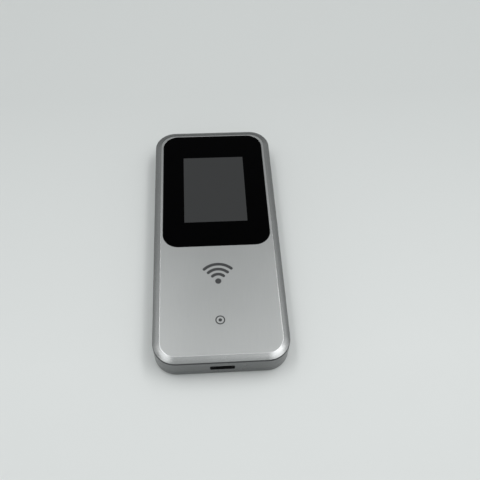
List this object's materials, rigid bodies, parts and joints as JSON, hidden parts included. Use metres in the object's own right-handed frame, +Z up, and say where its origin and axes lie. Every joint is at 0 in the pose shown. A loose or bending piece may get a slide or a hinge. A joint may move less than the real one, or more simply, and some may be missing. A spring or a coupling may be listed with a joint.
{
  "type": "mobile hotspot",
  "caption": "Flat portable hotspot with a bevelled silver face, black display window, USB-C inlet, lift-off back cover, removable battery, side button and antenna ports.",
  "frame": {"origin": "centre of the back cover's flat underside, on the surface the hotspot lies on", "axes": "+Z up through the face, +Y along the length towards the display end, +X to the side with the power button"},
  "size_m": [0.0721, 0.158, 0.0155],
  "materials": {
    "case_silver": "satin metallic paint on moulded plastic",
    "window_black": "gloss black cover lens",
    "chassis_black": "fine texture",
    "adhesive_black": "matte foam tape",
    "panel_dark": "polarised glass panel",
    "frame_white": "moulded natural",
    "spring_steel": "stamped",
    "shield_steel": "tin-plated",
    "screw_steel": "black zinc",
    "flex_amber": "polyimide film over copper",
    "connector_black": "moulded",
    "board_green": "solder mask",
    "chip_black": "moulded package",
    "pad_blue": "silicone",
    "spreader_aluminium": "rolled",
    "rubber_black": "matte",
    "contact_gold": "gold-plated",
    "antenna_carrier": "moulded with plated traces",
    "graphite_grey": "graphite film",
    "label_white": "paper film",
    "label_grey": "printed film, blank",
    "cell_foil": "pouch foil"
  },
  "bodies": {
    "back": {"back_cover": "case_silver", "graphite_sheet": "graphite_grey"},
    "main": {"main_housing": "case_silver", "front_cover": "case_silver", "rear_frame": "chassis_black", "display_lens": "window_black", "lens_adhesive": "adhesive_black", "lcd_panel": "panel_dark", "lcd_backlight": "frame_white", "display_frame": "spring_steel", "lcd_gasket": "adhesive_black", "lcd_flex": "flex_amber", "lcd_connector": "connector_black", "main_pcb": "board_green", "modem_chip": "chip_black", "processor_chip": "chip_black", "memory_chip": "chip_black", "wifi_chip": "chip_black", "modem_shield": "shield_steel", "radio_shield": "shield_steel", "thermal_pad": "pad_blue", "heat_spreader": "spreader_aluminium", "usb_shell": "shield_steel", "usb_tongue": "connector_black", "usb_gasket": "rubber_black", "left_antenna_jack": "contact_gold", "right_antenna_jack": "contact_gold", "left_jack_insulator": "frame_white", "right_jack_insulator": "frame_white", "port_cover_pins": "spring_steel", "power_switch": "shield_steel", "reset_switch": "connector_black", "sim_socket": "shield_steel", "battery_connector": "connector_black", "far_antenna": "antenna_carrier", "near_left_antenna": "antenna_carrier", "near_right_antenna": "antenna_carrier", "left_wifi_antenna": "flex_amber", "right_wifi_antenna": "flex_amber", "nfc_coil": "flex_amber", "nfc_ferrite": "graphite_grey", "case_screws": "screw_steel", "id_label": "label_white"},
    "battery": {"battery_cell": "cell_foil", "battery_cap": "connector_black", "battery_contacts": "contact_gold", "battery_label": "label_grey"},
    "power_button": {"power_button": "case_silver", "power_plunger": "connector_black"},
    "reset_button": {"reset_plunger": "frame_white"},
    "left_port": {"left_port_cover": "case_silver"},
    "right_port": {"right_port_cover": "case_silver"}
  },
  "joints": [
    {"name": "cover_release", "type": "slide", "parent": "back", "child": "main", "axis": [0, 0, 1], "range_m": [0, 0.04]},
    {"name": "battery_release", "type": "slide", "parent": "main", "child": "battery", "axis": [0, 0, -1], "range_m": [0, 0.02]},
    {"name": "power_press", "type": "slide", "parent": "main", "child": "power_button", "axis": [-1, 0, 0], "range_m": [0, 0.00035], "stiffness_N_per_m": 3000, "springref_m": -0.0003},
    {"name": "reset_press", "type": "slide", "parent": "main", "child": "reset_button", "axis": [0, 0, 1], "range_m": [0, 0.00025], "stiffness_N_per_m": 3000, "springref_m": -0.0003},
    {"name": "left_port_swing", "type": "hinge", "parent": "main", "child": "left_port", "pos_m": [-0.0353, -0.0522, 0.0074], "axis": [0, 0, -1], "range_deg": [0, 90]},
    {"name": "right_port_swing", "type": "hinge", "parent": "main", "child": "right_port", "pos_m": [0.0353, -0.0522, 0.0074], "axis": [0, 0, 1], "range_deg": [0, 90]}
  ],
  "couplings": [
    {"joint": "battery_release", "follows": "cover_release", "ratio": 0.5}
  ]
}
